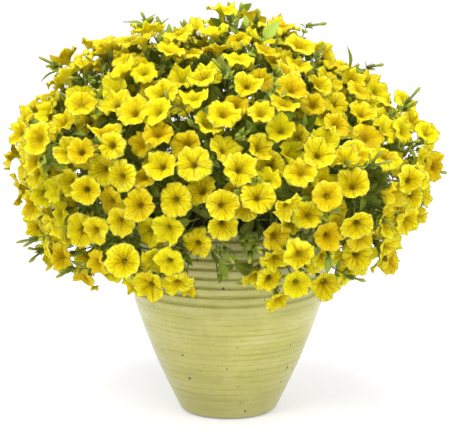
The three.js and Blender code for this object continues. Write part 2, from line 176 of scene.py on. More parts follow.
def tube(gather, path, radii, tone, sides=STEM_SIDES):
    """A round stem along a path, closed at both ends."""
    path = [np.asarray(p, float) for p in path]
    n = len(path)
    radii = np.interp(np.linspace(0, 1, n), np.linspace(0, 1, len(radii)), radii)
    u, points, uvs = None, [], []
    for i, p in enumerate(path):
        axis = unit(path[min(i + 1, n - 1)] - path[max(i - 1, 0)])
        u, v = basis(axis, u)
        for k in range(sides):
            points.append(p + radii[i] * between(u, v, tau * k / sides))
            uvs.append((k / sides, i / (n - 1)))
    gather.add(points, barrel(n, sides), uvs, tone, 1)


# Reading the frame


def skin_of(name):
    """A node's points, merged where they meet, and its triangles."""
    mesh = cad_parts[name].data
    co = np.empty(len(mesh.vertices) * 3)
    mesh.vertices.foreach_get("co", co)
    co = co.reshape(-1, 3)
    _, first, back = np.unique(np.round(co, 5), axis=0, return_index=True, return_inverse=True)
    mesh.calc_loop_triangles()
    corners = np.empty(len(mesh.loop_triangles) * 3, int)
    mesh.loop_triangles.foreach_get("vertices", corners)
    triangles = back.ravel()[corners].reshape(-1, 3)
    return co[first], [tuple(t) for t in triangles if len(set(t)) == 3]


def neighbours_of(name):
    """A node's points, and the neighbours and the triangles of each."""
    points, triangles = skin_of(name)
    near, fans = {}, {}
    for t in triangles:
        for i in range(3):
            near.setdefault(t[i], set()).update((t[i - 1], t[i - 2]))
            fans.setdefault(t[i], []).append(t)
    return points, near, fans


def find_blooms(points, near, fans):
    """A bloom is a throat with five or ten rim points round it, a neck of three points and a foot of three."""
    blooms, used = [], set()
    for v, around in near.items():
        if len(around) not in (5, 10) or len(fans[v]) != len(around):
            continue
        reach = [np.linalg.norm(points[r] - points[v]) for r in around]
        if min(reach) < RIM_REACH[0] or max(reach) > RIM_REACH[1]:
            continue
        rim = sorted(around)
        neck = sorted(set().union(*(near[r] for r in rim)) - set(rim) - {v})
        if len(neck) != 3 or max(np.ptp(points[neck], axis=0)) > NECK_SPAN:
            continue
        foot = sorted(set().union(*(near[q] for q in neck)) - set(rim) - set(neck))
        blooms.append({"throat": points[v], "rim": points[rim], "neck": points[neck], "foot": points[foot]})
        used.update([v, *rim, *neck])
    return blooms, used


def find_tips(points, near, fans):
    """Leaves and buds end in a point with three neighbours."""
    leaves, buds, used = [], [], set()
    for v, around in near.items():
        if len(around) != 3 or len(fans[v]) != 3:
            continue
        gaps = sorted((np.linalg.norm(points[r] - points[v]), r) for r in around)
        if gaps[2][0] < BUD_REACH:
            ring = [r for _, r in gaps]
            foot = sorted(set().union(*(near[r] for r in ring)) - set(ring) - {v})
            buds.append({"tip": points[v], "foot": points[foot].mean(0)})
            used.update([v, *ring])
            continue
        sides = [r for r in around if len(near[r]) in (4, 5) and len(fans[r]) == len(near[r])]
        pairs = [(a, b) for a in sides for b in sides if a < b and b in near[a]]
        if not pairs:
            continue
        a, b = pairs[0]
        keel = next(iter(set(around) - {a, b}))
        root = points[sorted((near[a] | near[b]) - {a, b, v, keel})].mean(0)
        leaves.append({"tip": points[v], "sides": (points[a], points[b]), "keel": points[keel], "root": root})
        used.update([v, a, b])
    return leaves, buds, used


def find_stems(points, near, used):
    """The middles of the rings of points that are left, the edges between rings, and their chains."""
    rest = [v for v in near if v not in used]
    ring_of, rings = {}, []
    for v in rest:
        if v in ring_of:
            continue
        group, todo = {v}, [v]
        while todo:
            w = todo.pop()
            for x in near[w]:
                if x not in group and x not in used and np.linalg.norm(points[x] - points[w]) < RING_EDGE:
                    group.add(x)
                    todo.append(x)
        for w in group:
            ring_of[w] = len(rings)
        rings.append(sorted(group))
    middles = [points[g].mean(0) for g in rings]
    links, strong = {}, {}
    for v in rest:
        for w in near[v]:
            if w in ring_of and ring_of[w] != ring_of[v]:
                pair = (ring_of[v], ring_of[w])
                links[pair] = links.get(pair, 0) + 1
    for (a, b), n in links.items():
        if n >= STEM_EDGES:
            strong.setdefault(a, set()).add(b)
    ends = [i for i in range(len(rings)) if len(strong.get(i, ())) <= 1]
    seen, chains = set(), []
    for start in sorted(ends, key=lambda i: (i not in strong, middles[i][2])):
        chain, ahead = [], [start] if start not in seen else []
        while ahead:
            chain.append(ahead[0])
            seen.add(ahead[0])
            ahead = [j for j in strong.get(ahead[0], ()) if j not in seen]
        if chain:
            chains.append(chain)
    return middles, links, chains


# Building the finer parts


def corolla(gather, bloom, tone):
    """A thin, closed trumpet with five ruffled lobes. It returns the way of its tail and the calyx's seat."""
    throat, rim, neck, foot = bloom["throat"], bloom["rim"], bloom["neck"].mean(0), bloom["foot"].mean(0)
    centre = rim.mean(0)
    depth = np.linalg.norm(centre - throat)
    axis = unit(centre - throat)
    u, v = basis(axis)
    flat = rim - centre
    angles = np.arctan2(flat @ v, flat @ u)
    order = np.argsort(angles)
    angles = angles[order]
    lifts = (flat @ axis)[order]
    reach = np.linalg.norm(flat - np.outer(flat @ axis, axis), axis=1)[order]
    step = len(rim) // 5
    lobe = int(step == 2 and reach[1::2].mean() > reach[0::2].mean())
    radius = reach[lobe::step].mean() * PETAL_SPREAD
    # Blooms turn to the light: low ones a little to the front, those at the top upwards
    top = min(max((centre[2] - TURN_FROM) / TURN_OVER, 0), 1)
    light = np.array([0, -0.34 * (1 - axis[1] ** 2) * (1 - top), 0.04 + 0.36 * top])
    axis = unit(axis + random_vector(0.13) + light)
    u = unit(u - axis * u.dot(axis))
    v = np.cross(axis, u)
    # Each bloom's own waves, rim, trumpet and lobes
    phases = [rng.uniform(0, tau) for _ in range(4)]
    ruffle = rng.uniform(0.0016, 0.0044)
    curl = rng.uniform(-0.0065, 0.0045)
    dish = rng.uniform(0.75, 1.5)
    notch = rng.uniform(*NOTCH_DEPTH)
    sizes = np.array([rng.uniform(-0.09, 0.07) for _ in range(5)])
    bends = np.array([rng.gauss(0, 0.0025) for _ in range(5)])
    if rng.random() < 0.4:
        bends[rng.randrange(5)] += rng.choice([-0.011, 0.008 * (1 - top)])
    saddle = rng.gauss(0, 0.0034)
    # Round the bloom: each point's lobe, and how far it is from that lobe's middle, from -1 to 1
    k = np.arange(PETAL_AROUND)
    a = angles[lobe] + tau * k / PETAL_AROUND
    turn = 5 * k / PETAL_AROUND
    nearest = np.floor(turn + 0.5)
    off = 2 * (turn - nearest)
    middle = 1 - off * off
    which = nearest.astype(int) % 5
    base = np.interp(a, np.r_[angles, angles + tau], np.r_[lifts, lifts], period=tau)
    out = np.outer(np.cos(a), u) + np.outer(np.sin(a), v)
    scallop = 0.020 * np.sin(11 * a + phases[0]) + 0.016 * np.sin(17 * a + phases[3])

    def ring(t):
        """The points at a share of the way from the throat to the rim."""
        edge = 1 - notch * np.abs(off) ** 3.2 - 0.035 * np.exp(-((off / 0.15) ** 2)) * t
        edge = edge * (1 + sizes[which] * middle) + scallop
        r = THROAT_RADIUS + (radius * edge - THROAT_RADIUS) * t
        rise = -depth * (1 - t) ** (2.9 * dish)
        wave = ruffle * (np.sin(7 * a + phases[1]) + 0.6 * np.sin(12 * a + phases[2])) * t**2.4
        wave = wave + saddle * np.cos(2 * a + phases[0]) * t**2
        lift = base * t * t + curl * t**4 + bends[which] * middle * t**2 + 0.0012 * np.cos(pi * off) * t
        crease = -0.0021 * np.exp(-((off / 0.2) ** 2)) * sin(pi * min(t * 1.1, 1))
        fold = 0.0013 * np.exp(-(((1 - np.abs(off)) / 0.25) ** 2)) * sin(pi * t)
        return centre + np.outer(rise + wave + lift + crease + fold, axis) + r[:, None] * out

    # From the deep throat out to the rim, over it and back down the outside of the trumpet to its calyx
    rings, uvs = [throat - axis * THROAT_DEPTH + THROAT_END * out], [-0.15]
    for t in PETAL_ROWS:
        rings.append(ring(t))
        uvs.append(t)
    for t in UNDER_ROWS:
        rings.append(ring(t) - axis * PETAL_THICKNESS)
        uvs.append(2 - t)
    seat = neck + unit(foot - neck) * min(TRUMPET_TAIL, 0.4 * np.linalg.norm(foot - neck))
    low = centre - axis * depth
    for share, r in TRUMPET_RADII:
        at = (1 - share) ** 2 * low + 2 * share * (1 - share) * neck + share**2 * seat
        rings.append(at + r * out)
        uvs.append(2.0 + 0.2 * share)
    coords = np.stack([np.tile(np.abs(off), len(rings)), np.repeat(uvs, PETAL_AROUND)], 1)
    gather.add(np.concatenate(rings), barrel(len(rings), PETAL_AROUND, inward=True), coords, tone)
    stigma(gather, throat - axis * 0.0025, axis, tone)
    return unit(low - seat), seat


def stigma(gather, seat, axis, tone, radius=0.0009, height=0.0018, sides=6):
    """The small green bead in a throat."""
    u, v = basis(axis)
    points, faces = [seat - axis * height * 0.5], []
    for z, r in ((-0.3, 0.8), (0.3, 1.0), (0.8, 0.6)):
        for k in range(sides):
            points.append(seat + axis * height * z * 0.5 + radius * r * between(u, v, tau * k / sides))
    points.append(seat + axis * height * 0.5)
    for k in range(sides):
        m = (k + 1) % sides
        faces.append((0, 1 + m, 1 + k))
        for b in (1, 1 + sides):
            faces.append((b + k, b + m, b + sides + m, b + sides + k))
        faces.append((1 + 2 * sides + k, 1 + 2 * sides + m, len(points) - 1))
    gather.add(points, faces, None, tone, 1)


def calyx(gather, seat, axis, tone):
    """Five narrow sepals that hold the foot of a trumpet."""
    u, v = basis(axis)
    for k in range(5):
        side = between(u, v, tau * k / 5 + rng.uniform(-0.2, 0.2))
        across = np.cross(axis, side)
        long = rng.uniform(0.010, 0.014)
        flare = rng.uniform(0.1, 0.5)
        points = []
        for s, half, out in SEPAL_ROWS:
            at = seat + axis * long * s + side * (out + flare * 0.005 * s * s)
            keel, edge = side * 0.0005, side * 0.0003
            points += [at - across * half - edge, at + keel, at + across * half - edge]
        gather.add(points, barrel(len(SEPAL_ROWS), 3), None, tone, 1)


def blade(gather, root, tip, normal, width, tone, stalk, rows=5, shares=(-1.0, -0.5, 0.0, 0.5, 1.0)):
    """An oval leaf with a folded rib, raised sides between its veins and a drooping tip."""
    along = tip - root
    length = np.linalg.norm(along)
    along = along / length
    normal = unit(normal - along * normal.dot(along))
    side = np.cross(along, normal)
    # Painted top light: leaves high in the plant are paler
    tone = min(max(tone + TOP_LIGHT_BY * (root[2] - TOP_LIGHT_FROM), 0), 1)
    fold = rng.uniform(0.12, 0.42)
    droop = rng.uniform(0.0, 0.16) * length
    twist = rng.uniform(-0.25, 0.25)
    wavy = rng.uniform(0.0, 0.05) * width
    phase = rng.uniform(0, 6.28)
    points, uvs, faces = [], [], []
    for thickness, beneath in ((0.0, 0.0), (LEAF_THICKNESS, 2.0)):
        for s in (i / rows for i in range(rows + 1)):
            oval = max(sin(pi * s**0.78) ** 0.8 * (1 - 0.22 * s), 0.03) if s > 0 else 0.09
            half = 0.5 * width * oval
            across = between(side, normal, twist * s)
            up = normal * cos(twist * s) - side * sin(twist * s)
            mid = root + along * length * (stalk + (1 - stalk) * s) - normal * droop * s * s
            mid = mid + normal * 0.06 * length * sin(pi * s)
            for share in shares:
                lift = abs(share) * half * fold + wavy * sin(7 * s + phase + 2 * share) * abs(share)
                lift -= 0.0004 * (share == 0)
                points.append(mid + across * half * share + up * lift - up * thickness)
                uvs.append((0.5 + 0.5 * share, s + beneath))
    w = len(shares)
    under = (rows + 1) * w
    for i in range(rows):
        for a in range(i * w, (i + 1) * w - 1):
            faces.append((a, a + 1, a + 1 + w, a + w))
            faces.append((under + a + w, under + a + 1 + w, under + a + 1, under + a))
    edges = []
    for i in range(rows):
        edges += [(i * w, (i + 1) * w), ((i + 2) * w - 1, (i + 1) * w - 1)]
    for j in range(w - 1):
        edges += [(j + 1, j), (rows * w + j, rows * w + j + 1)]
    faces += [(a, b, under + b, under + a) for a, b in edges]
    gather.add(points, faces, uvs, tone)


def bud(petals, greens, foot, tip, tone):
    """A long, furled and twisted yellow-green bud on its own small calyx."""
    axis = unit(tip - foot)
    length = np.linalg.norm(tip - foot)
    u, v = basis(axis)
    points, uvs = [], []
    for s, r in BUD_ROWS:
        for k in range(BUD_SIDES):
            pleat = r * (1 + 0.15 * (1 if k % 2 else -1))
            points.append(foot + axis * length * s + pleat * between(u, v, tau * k / BUD_SIDES + 2.2 * s))
            uvs.append((0.5, 0.35 + 0.5 * s))
    petals.add(points, barrel(len(BUD_ROWS), BUD_SIDES), uvs, tone, 2)
    calyx(greens, foot - axis * 0.002, axis, rng.random())


# Materials


class Look:
    """A material and its nodes. Most methods add nodes, and return what comes out of them."""

    def __init__(self, name):
        self.material = bpy.data.materials.new(name)
        self.material.use_nodes = True
        self.tree = self.material.node_tree

    def feed(self, socket, value):
        """Links a socket to another node's output, or sets a constant on it."""
        if isinstance(value, bpy.types.NodeSocket):
            self.tree.links.new(value, socket)
        else:
            socket.default_value = (*value, 1) if socket.type == "RGBA" else value

    def add(self, kind, output, inputs, **settings):
        node = self.tree.nodes.new("ShaderNode" + kind)
        for key, value in settings.items():
            setattr(node, key, value)
        for key, value in inputs.items():
            self.feed(node.inputs[key], value)
        return node.outputs[output]

    def shade(self, **sockets):
        """Feeds the shader's sockets, with underscores for the spaces in their names."""
        shader = self.tree.nodes["Principled BSDF"]
        for name, value in sockets.items():
            self.feed(shader.inputs[name.replace("_", " ")], value)
        return self.material

    def place(self):
        return self.add("TexCoord", "Object", {})

    def tone(self):
        return self.add("Attribute", "Fac", {}, attribute_name="tone")

    def split(self, vector):
        return self.add("SeparateXYZ", 0, {0: vector}).node.outputs

    def uv(self):
        return self.split(self.add("UVMap", 0, {}, uv_map="Shape"))[:2]

    def stretched(self, vector, z_scale):
        return self.add("Mapping", 0, {"Vector": vector, "Scale": (1, 1, z_scale)})

    def noise(self, scale, detail, vector, rough=0.5, output="Fac"):
        inputs = {"Scale": scale, "Detail": detail, "Roughness": rough, "Vector": vector}
        return self.add("TexNoise", output, inputs)

    def bump(self, height, distance, strength):
        return self.add("Bump", 0, {"Height": height, "Distance": distance, "Strength": strength})

    def ramp(self, value, *stops):
        ramp = self.add("ValToRGB", 0, {0: value})
        elements = ramp.node.color_ramp.elements
        while len(elements) < len(stops):
            elements.new(0.5)
        for element, (at, colour) in zip(elements, stops):
            element.position = at
            element.color = (*colour, 1)
        return ramp

    def mix(self, share, a, b):
        return self.add("Mix", 2, {0: share, 6: a, 7: b}, data_type="RGBA")

    def tint(self, colour, share, other, most=None):
        """A colour that turns to another one by a share, or by so much of the share."""
        return self.mix(share if most is None else self.times(share, most), colour, other)

    def maths(self, kind, a, b=0.5, clamp=False):
        return self.add("Math", 0, {0: a, 1: b}, operation=kind, use_clamp=clamp)

    def plus(self, a, b, clamp=False):
        return self.maths("ADD", a, b, clamp)

    def minus(self, a, b, clamp=False):
        return self.maths("SUBTRACT", a, b, clamp)

    def times(self, a, b, clamp=False):
        return self.maths("MULTIPLY", a, b, clamp)

    def above(self, value, level, gain):
        """How far a value is above a level, times a gain, from 0 to 1."""
        return self.times(self.minus(value, level, True), gain, True)

    def line(self, distance, width):
        """1 on a line, and down to 0 at its width."""
        return self.minus(1.0, self.maths("DIVIDE", distance, width), True)

    def own(self, tone, factor):
        """Another number from 0 to 1 for each bloom, from its tone."""
        return self.maths("FRACT", self.times(tone, factor))


def petal_material():
    """Yellow lobes with cream edges, golden veins, fine radiating wrinkles with painted shade in their creases
    and painted highlight on their ridges, and an olive-brown throat.
    """
    look = Look("petal")
    off, out = look.uv()
    tone, place = look.tone(), look.place()
    inside = look.ramp(
        look.times(look.plus(out, 0.15), 1 / 1.15),
        (0.0, (0.04, 0.04, 0.003)), (0.12, (0.17, 0.128, 0.003)), (0.17, (0.42, 0.305, 0.003)),
        (0.26, (0.63, 0.480, 0.002)), (0.56, (0.70, 0.578, 0.002)), (0.80, (0.75, 0.66, 0.012)),
        (0.92, (0.78, 0.695, 0.045)), (1.0, (0.81, 0.735, 0.12)),
    )
    back = look.ramp(
        look.minus(out, 1.0),
        (0.0, (0.82, 0.76, 0.13)), (0.12, (0.76, 0.65, 0.015)), (0.7, (0.71, 0.60, 0.015)),
        (1.0, (0.46, 0.46, 0.03)),
    )
    is_back = look.maths("GREATER_THAN", out, 1.001)
    front = look.minus(1.0, look.times(is_back, 0.75))
    colour = look.mix(is_back, inside, back)
    # Fine wrinkles radiate from the throat
    drift = look.times(look.noise(45, 2, place), 3.0)
    spread = {0: look.plus(look.times(off, 4.2), drift), 1: look.times(out, 1.3), 2: look.times(tone, 40.0)}
    streak = look.noise(1.2, 3, look.add("CombineXYZ", 0, spread), 0.6)
    crumple = look.noise(260, 3, place)
    # One main vein runs down each lobe, with finer ones beside it
    across = look.plus(off, look.times(look.minus(look.noise(110, 2, place), 0.5), 0.22))
    main_width = look.plus(0.05, look.maths("DIVIDE", 0.035, look.plus(out, 0.16)))
    main_vein = look.line(look.maths("ABSOLUTE", across), main_width)
    fine_vein = look.line(look.maths("PINGPONG", look.times(across, 3.4), 0.5), 0.16)
    veins = look.plus(look.times(main_vein, 0.9), look.times(fine_vein, 0.5), True)
    fade = look.maths("POWER", look.minus(1.04, out, True), 0.6)
    veins = look.times(look.times(veins, fade), front)
    veins = look.times(veins, look.plus(0.2, look.own(tone, 9.7)), True)
    # Golden and pale patches, a golden heart, painted shade in the wrinkles' creases and painted highlight on
    # their ridges
    colour = look.tint(colour, look.above(look.noise(75, 2, place), 0.5, 2.6), (0.57, 0.385, 0.003))
    colour = look.tint(colour, look.above(look.noise(52, 2, place), 0.55, 3.0), (0.84, 0.77, 0.10), 0.7)
    heart = look.times(look.times(look.minus(0.62, out, True), 1.9), look.own(tone, 5.3), True)
    colour = look.tint(colour, heart, (0.52, 0.355, 0.003))
    # Painted shade in the creases of the wrinkles, less on the backs
    colour = look.tint(colour, look.times(look.above(streak, 0.47, 4.0), front), (0.45, 0.295, 0.002))
    # Painted highlight on the ridges of the wrinkles
    colour = look.tint(colour, look.above(0.5, streak, 3.2), (0.88, 0.80, 0.02))
    colour = look.tint(colour, veins, (0.22, 0.15, 0.003))
    # Some blooms are aged, and some are fresh
    colour = look.tint(colour, look.maths("GREATER_THAN", tone, 0.84), (0.50, 0.29, 0.003), 0.34)
    colour = look.tint(colour, look.maths("LESS_THAN", tone, 0.2), (0.72, 0.66, 0.006), 0.4)
    relief = look.plus(look.minus(look.times(streak, -2.2), veins), look.times(crumple, 0.5))
    return look.shade(
        Base_Color=colour, Roughness=look.plus(0.5, look.times(crumple, 0.2)), Specular_IOR_Level=0.03,
        Subsurface_Weight=0.4, Subsurface_Radius=(1.0, 0.8, 0.05), Subsurface_Scale=0.002,
        Normal=look.bump(relief, 0.0022, 0.9),
    )


def stigma_material():
    look = Look("stigma")
    colour = look.ramp(look.noise(900, 2, look.place()), (0.3, (0.16, 0.18, 0.03)), (0.7, (0.38, 0.38, 0.10)))
    return look.shade(Base_Color=colour, Roughness=0.35)


def bud_material():
    """Green at the foot and yellow-green at the tip, with fine streaks."""
    look = Look("bud")
    stops = (0.35, (0.09, 0.13, 0.010)), (0.6, (0.16, 0.20, 0.012)), (0.8, (0.31, 0.32, 0.018))
    colour = look.ramp(look.uv()[1], *stops)
    streak = look.noise(350, 3, look.place())
    colour = look.tint(colour, streak, (0.16, 0.21, 0.014), 0.35)
    return look.shade(Base_Color=colour, Roughness=0.5, Normal=look.bump(streak, 0.0005, 0.5))


def leaf_material():
    """Mid-green leaves with a pale rib, side veins and lighter edges painted as a rim highlight, duller and
    paler beneath.
    """
    look = Look("leaf")
    across, along = look.uv()
    # The tone is partly random and partly painted light: paler high in the plant, darker deep inside it
    base = look.ramp(
        look.tone(),
        (0.0, (0.120, 0.145, 0.008)), (0.3, (0.20, 0.25, 0.018)), (0.7, (0.285, 0.37, 0.038)),
        (1.0, (0.36, 0.45, 0.06)),
    )
    off = look.maths("ABSOLUTE", look.minus(across, 0.5))
    slant = look.minus(look.times(along, 7.0), look.times(off, 5.0))
    rib, side = look.line(off, 0.045), look.line(look.maths("PINGPONG", slant, 0.5), 0.09)
    veins = look.plus(look.times(rib, 0.75), look.times(side, 0.32), True)
    mottle = look.noise(220, 4, look.place())
    colour = look.tint(base, mottle, (0.23, 0.295, 0.024), 0.45)
    colour = look.tint(colour, veins, (0.37, 0.46, 0.075))
    # Painted rim highlight: lighter towards the edges
    edge = look.maths("DIVIDE", look.minus(off, 0.42), 0.08, True)
    colour = look.tint(colour, edge, (0.36, 0.43, 0.05), 0.45)
    colour = look.tint(colour, look.maths("GREATER_THAN", along, 1.5), (0.20, 0.26, 0.035), 0.35)
    return look.shade(
        Base_Color=colour, Roughness=look.plus(0.36, look.times(mottle, 0.3)), Specular_IOR_Level=0.2,
        Subsurface_Weight=0.3, Subsurface_Radius=(0.8, 1.0, 0.1), Subsurface_Scale=0.002,
        Normal=look.bump(look.minus(look.times(mottle, 0.5), veins), 0.0006, 0.8),
    )


def stem_material():
    look = Look("stem")
    place = look.place()
    stops = (0.3, (0.09, 0.12, 0.008)), (0.6, (0.17, 0.22, 0.014)), (0.85, (0.26, 0.32, 0.025))
    colour = look.ramp(look.noise(260, 3, place), *stops)
    hairs = look.bump(look.noise(1500, 2, place), 0.0004, 0.6)
    return look.shade(Base_Color=colour, Roughness=0.6, Normal=hairs)


def glaze_material():
    """Green-yellow glaze, paler on the ribs, olive in the grooves, darker at the foot with a painted contact
    shadow at its very bottom, and pitted.
    """
    look = Look("glaze")
    place, groove = look.place(), look.tone()
    height = look.split(place)[2]
    banded, upright = look.stretched(place, 5), look.stretched(place, 0.3)
    fine = look.noise(60, 5, banded, 0.6)
    stops = (0.3, (0.31, 0.30, 0.060)), (0.5, (0.445, 0.42, 0.092)), (0.7, (0.55, 0.505, 0.19))
    colour = look.ramp(look.noise(7, 4, banded), *stops)
    colour = look.tint(colour, fine, (0.40, 0.375, 0.085), 0.5)
    # Pale upper ribs, greener glaze that has run down in broad patches, grain and clouds
    colour = look.tint(colour, look.above(height, 0.185, 10.0), (0.40, 0.375, 0.145), 0.42)
    colour = look.tint(colour, look.above(look.noise(13, 3, upright), 0.52, 4.0), (0.43, 0.44, 0.045), 0.5)
    grain = look.above(look.noise(260, 4, place, 0.75), 0.45, 3.0)
    colour = look.tint(colour, grain, (0.28, 0.25, 0.055), 0.55)
    cloud = look.above(look.noise(30, 5, upright, 0.65), 0.5, 4.0)
    colour = look.tint(colour, cloud, (0.56, 0.52, 0.15), 0.5)
    foot = look.minus(1.0, look.times(height, 7.5), True)
    colour = look.tint(colour, foot, (0.27, 0.245, 0.075), 0.55)
    # Glaze pools in the grooves, ragged and broken; a thin dark band at the very foot is painted contact
    # shadow
    broken = look.plus(0.25, look.above(look.noise(13, 4, banded, 0.65), 0.4, 4.0), True)
    ragged = look.plus(look.minus(groove, 0.66), look.noise(70, 4, banded, 0.65))
    pool = look.times(look.times(ragged, 1.7, True), broken, True)
    colour = look.tint(colour, pool, (0.245, 0.25, 0.018), 0.9)
    # Painted contact shadow: a thin dark band at the very foot
    colour = look.tint(colour, look.minus(1.0, look.times(height, 260.0), True), (0.07, 0.06, 0.035))
    # Pits of uneven size and outline, and fine dust
    jitter = look.noise(420, 2, place, output="Color")
    inputs = {0: jitter, 1: (0.004, 0.004, 0.004), 2: place}
    bent = look.add("VectorMath", 0, inputs, operation="MULTIPLY_ADD")
    cell = look.add("TexVoronoi", "Distance", {"Scale": 48, "Vector": bent})
    pit_size = look.minus(look.times(look.noise(19, 2, place), 0.36), 0.108)
    pit = look.maths("LESS_THAN", cell, pit_size)
    dust = look.above(look.noise(330, 4, place, 0.75), 0.62, 6.0)
    colour = look.tint(colour, dust, (0.21, 0.19, 0.03), 0.6)
    colour = look.tint(colour, pit, (0.045, 0.028, 0.010), 0.9)
    rough = look.plus(look.plus(0.24, look.times(fine, 0.2)), look.times(pit, 0.3))
    relief = look.minus(look.times(fine, 0.35), pit)
    return look.shade(
        Base_Color=colour, Roughness=rough, Coat_Weight=0.3, Coat_Roughness=0.15,
        Normal=look.bump(relief, 0.0012, 0.5),
    )


def soil_material():
    look = Look("soil")
    crumb = look.noise(140, 6, look.place(), 0.7)
    stops = (0.3, (0.008, 0.005, 0.003)), (0.55, (0.030, 0.018, 0.010)), (0.75, (0.075, 0.046, 0.026))
    colour = look.ramp(crumb, *stops)
    return look.shade(Base_Color=colour, Roughness=0.95, Normal=look.bump(crumb, 0.004, 1.0))


petal_looks = [petal_material(), stigma_material(), bud_material()]
green_looks = [leaf_material(), stem_material()]


def finish_piece(gather, name, looks, nodes=()):
    piece = gather.build(name, looks)
    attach(piece, "root")
    if nodes:
        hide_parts(*nodes)


# The flowering sprays

sprays = sorted(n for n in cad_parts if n.startswith("flower_spray"))
stems = sorted(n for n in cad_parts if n.startswith("leafy_stem"))
all_blooms = []


def stem_tube(greens, middles, chain, links, radii):
    """A stem along a chain of rings, from the middle of the rings that it leaves."""
    path = [middles[i] for i in chain]
    foot = [(n, pair) for pair, n in links.items() if pair[0] == chain[0] and pair[1] not in chain]
    if foot and path[0][2] > SIDE_STEM_FROM:
        path.insert(0, sum(n * middles[pair[1]] for n, pair in foot) / sum(n for n, _ in foot))
        radii = SIDE_STEM
    if len(path) > 1:
        tube(greens, smooth_path(path), radii, rng.random())


def joint_leaves(greens, joint):
    """Leaves around the joint where a stem's necks part."""
    away = unit(joint - HEART)
    turn = rng.uniform(0, 6.28)
    u, v = basis(away)
    for k in range(JOINT_LEAVES):
        side = between(u, v, turn + tau * k / JOINT_LEAVES + rng.uniform(-0.3, 0.3))
        heading = unit(side + away * rng.uniform(0.0, 0.9))
        length = rng.uniform(0.022, 0.036)
        root = joint - away * rng.uniform(0.0, 0.012)
        normal = unit(away + random_vector(0.25))
        width = length * rng.uniform(0.42, 0.56)
        blade(greens, root, root + heading * length, normal, width, rng.betavariate(2, 2.8), 0.12, **SMALL)


def tip_leaves(greens, end, way):
    """Three small leaves that close the tip of a shoot."""
    for _ in range(3):
        heading = unit(way * 0.7 + random_vector(0.5))
        length = rng.uniform(0.010, 0.017)
        normal = unit(np.cross(heading, np.cross(way, heading)) + random_vector(0.2))
        tone = 0.15 + 0.55 * rng.random()
        blade(greens, end, end + heading * length, normal, length * 0.5, tone, 0.08, **SMALL)


def grow_spray(name, petals, greens):
    points, near, fans = neighbours_of(name)
    blooms, used = find_blooms(points, near, fans)
    middles, links, chains = find_stems(points, near, used)
    for chain in chains:
        stem_tube(greens, middles, chain, links, SPRAY_STEM)
        joint_leaves(greens, middles[chain[-1]])
    for bloom in blooms:
        tail, seat = corolla(petals, bloom, rng.random())
        calyx(greens, seat - tail * 0.002, tail, rng.random())
        foot = bloom["foot"].mean(0)
        gap = np.linalg.norm(seat - foot)
        sag = np.array([0, 0, -0.06 * gap])
        path = smooth_path([foot, (foot + seat) / 2 - tail * 0.05 * gap + sag, seat - tail * 0.002])
        tube(greens, path, (0.0009, 0.0008, 0.0014), rng.random(), NECK_SIDES)
        centre = bloom["rim"].mean(0)
        all_blooms.append((centre, unit(centre - bloom["throat"])))


for i in range(SPRAY_GROUPS):
    members = sprays[i * len(sprays) // SPRAY_GROUPS : (i + 1) * len(sprays) // SPRAY_GROUPS]
    petals, greens = Gather(), Gather()
    for name in members:
        grow_spray(name, petals, greens)
    finish_piece(petals, f"blooms_{i + 1}", petal_looks, members)
    finish_piece(greens, f"flower_stems_{i + 1}", green_looks)

# The leafy stems, small leaves between the blooms, each on its own stalk, and sprigs with long buds

bloom_places = np.array([c for c, _ in all_blooms])
bloom_axes = np.array([a for _, a in all_blooms])
rays = bloom_places - HEART
ray_lengths = np.linalg.norm(rays, axis=1)
ray_ways = rays / ray_lengths[:, None]
BOX_LOW, BOX_HIGH = bloom_places.min(0) - 0.020, bloom_places.max(0) + [0.020, 0.020, 0.006]


def shell(direction):
    """How far from the plant's heart its skin lies, and how low its blooms hang, near that direction."""
    best = np.argsort(-(ray_ways @ direction))[:4]
    return ray_lengths[best].mean(), bloom_places[best, 2].min()


def any_way(lowest):
    z = rng.uniform(lowest, 1.0)
    t = rng.uniform(0, tau)
    flat = math.sqrt(1 - z * z)
    return np.array([flat * cos(t), flat * sin(t), z])


def in_front_of_bloom(point, reach):
    gaps = np.linalg.norm(bloom_places - point, axis=1)
    ahead = ((point - bloom_places) * bloom_axes).sum(1) > -0.003
    return bool((ahead & (gaps < reach)).any())


def inside_pot(point):
    return math.hypot(point[0], point[1]) < POT_CLEAR_RADIUS and point[2] < POT_CLEAR_HEIGHT


def outside_box(point):
    """Whether a tip would stand out past the plant's own width and height."""
    return bool((point < BOX_LOW).any() or (point > BOX_HIGH).any())


def grow_stem(name, petals, greens):
    points, near, fans = neighbours_of(name)
    leaves, buds, used = find_tips(points, near, fans)
    middles, links, chains = find_stems(points, near, used)
    for chain in chains:
        stem_tube(greens, middles, chain, links, LEAFY_STEM)
        if len(chain) > 1:
            end, before = middles[chain[-1]], middles[chain[-2]]
            tip_leaves(greens, end, unit(end - before))
    for leaf in leaves:
        a, b = leaf["sides"]
        normal = np.cross(b - a, leaf["tip"] - leaf["root"])
        if normal.dot(leaf["root"] - leaf["keel"]) < 0:
            normal = -normal
        width = np.linalg.norm(a - b) * 1.12
        blade(greens, leaf["root"], leaf["tip"], normal, width, rng.betavariate(2, 3.8), 0.1)
    for b in buds:
        if in_front_of_bloom(b["tip"], BUD_CLEAR):
            tip_leaves(greens, b["foot"], unit(b["tip"] - b["foot"]))
        else:
            bud(petals, greens, b["foot"], b["tip"], rng.random())


